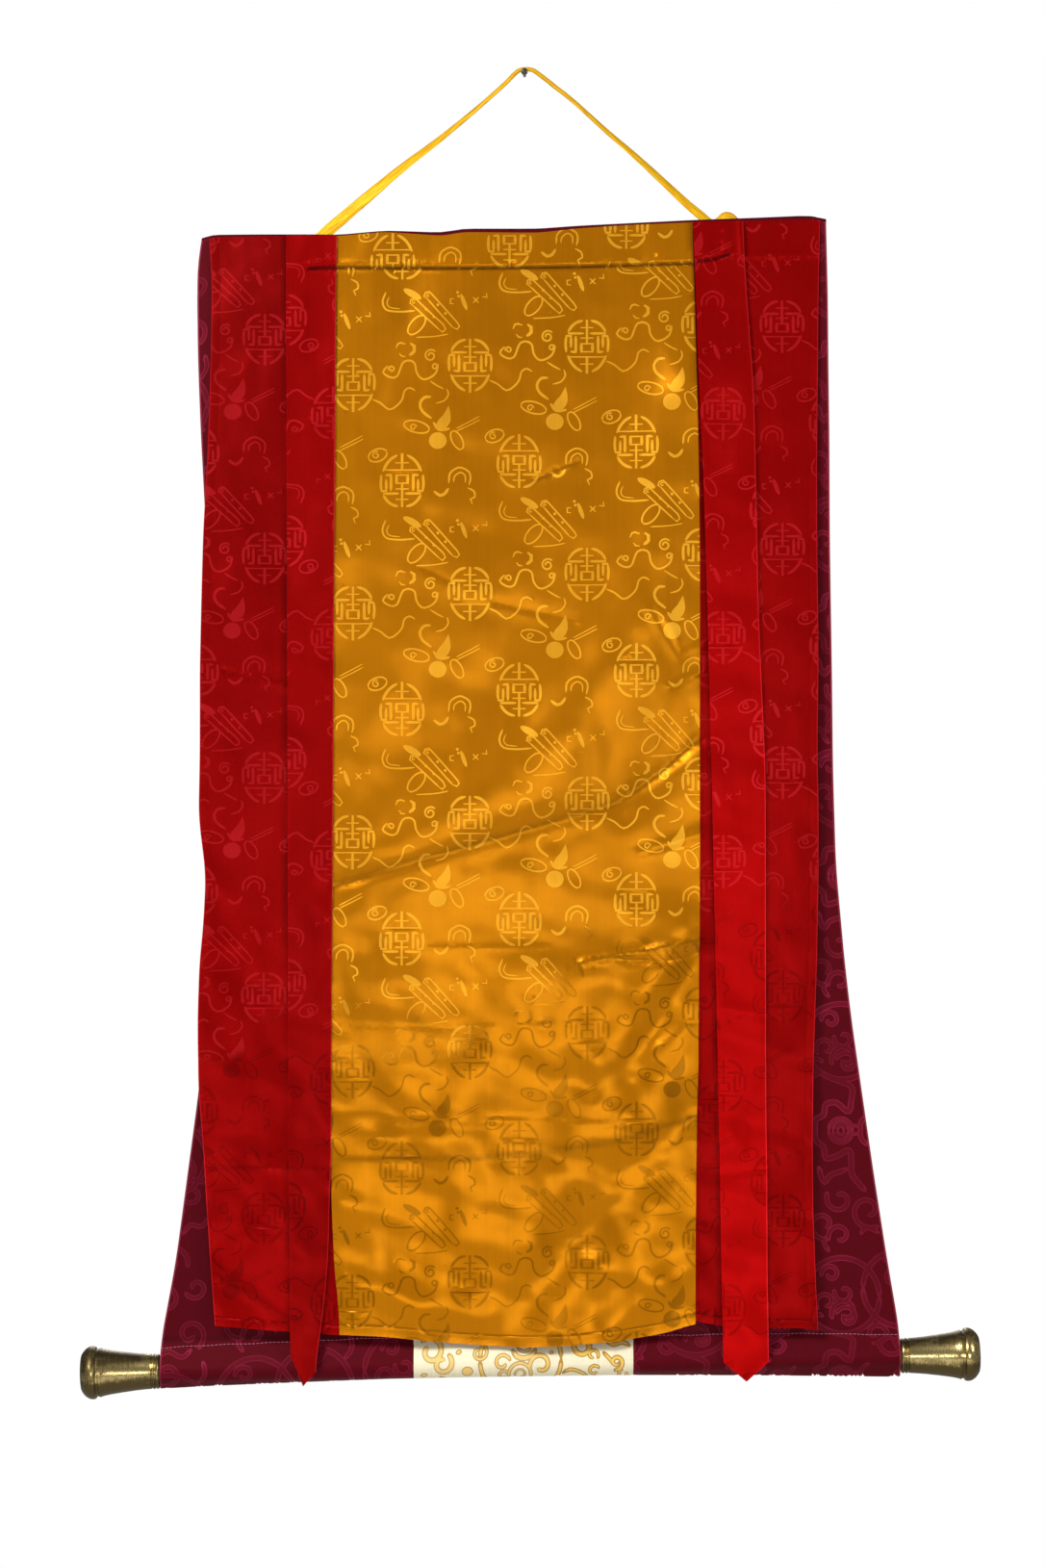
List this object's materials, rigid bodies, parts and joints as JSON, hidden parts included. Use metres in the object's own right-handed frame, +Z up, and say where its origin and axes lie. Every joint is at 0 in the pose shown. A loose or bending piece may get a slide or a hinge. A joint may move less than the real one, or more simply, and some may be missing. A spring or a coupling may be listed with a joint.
{
  "type": "thangka scroll painting with its bottom rod, top slat and wall nail",
  "caption": "Thangka scroll in a flared brocade mount, its silk cover and ribbons let down, hung by a cord from a wall nail.",
  "frame": {"origin": "centre of the wall nail's flat back end, at the wall plane", "axes": "+Y into the wall, so the front faces -Y; +Z up; +X to the right as seen from the front"},
  "size_m": [0.9382, 0.0558, 1.3877],
  "materials": {
    "maroon_brocade": "dull silk brocade with cloud scrolls",
    "ivory_brocade": "pale brocade with gold cloud scrolls",
    "yellow_silk": "satin damask",
    "red_silk": "satin damask",
    "cord_silk": "twisted silk tape",
    "antique_brass": "worn antique brass",
    "rod_wood": "plain turned wood",
    "slat_wood": "plain sawn wood",
    "nail_iron": "dark iron"
  },
  "bodies": {
    "root": {"mount_cloth": "maroon_brocade", "door_panel": "ivory_brocade", "cover_centre": "yellow_silk", "cover_left": "red_silk", "cover_right": "red_silk", "ribbon_left": "red_silk", "ribbon_right": "red_silk", "hanging_cord": "cord_silk", "knob_left": "antique_brass", "knob_right": "antique_brass", "lower_rod": "rod_wood", "top_slat": "slat_wood", "wall_nail": "nail_iron"}
  },
  "joints": []
}
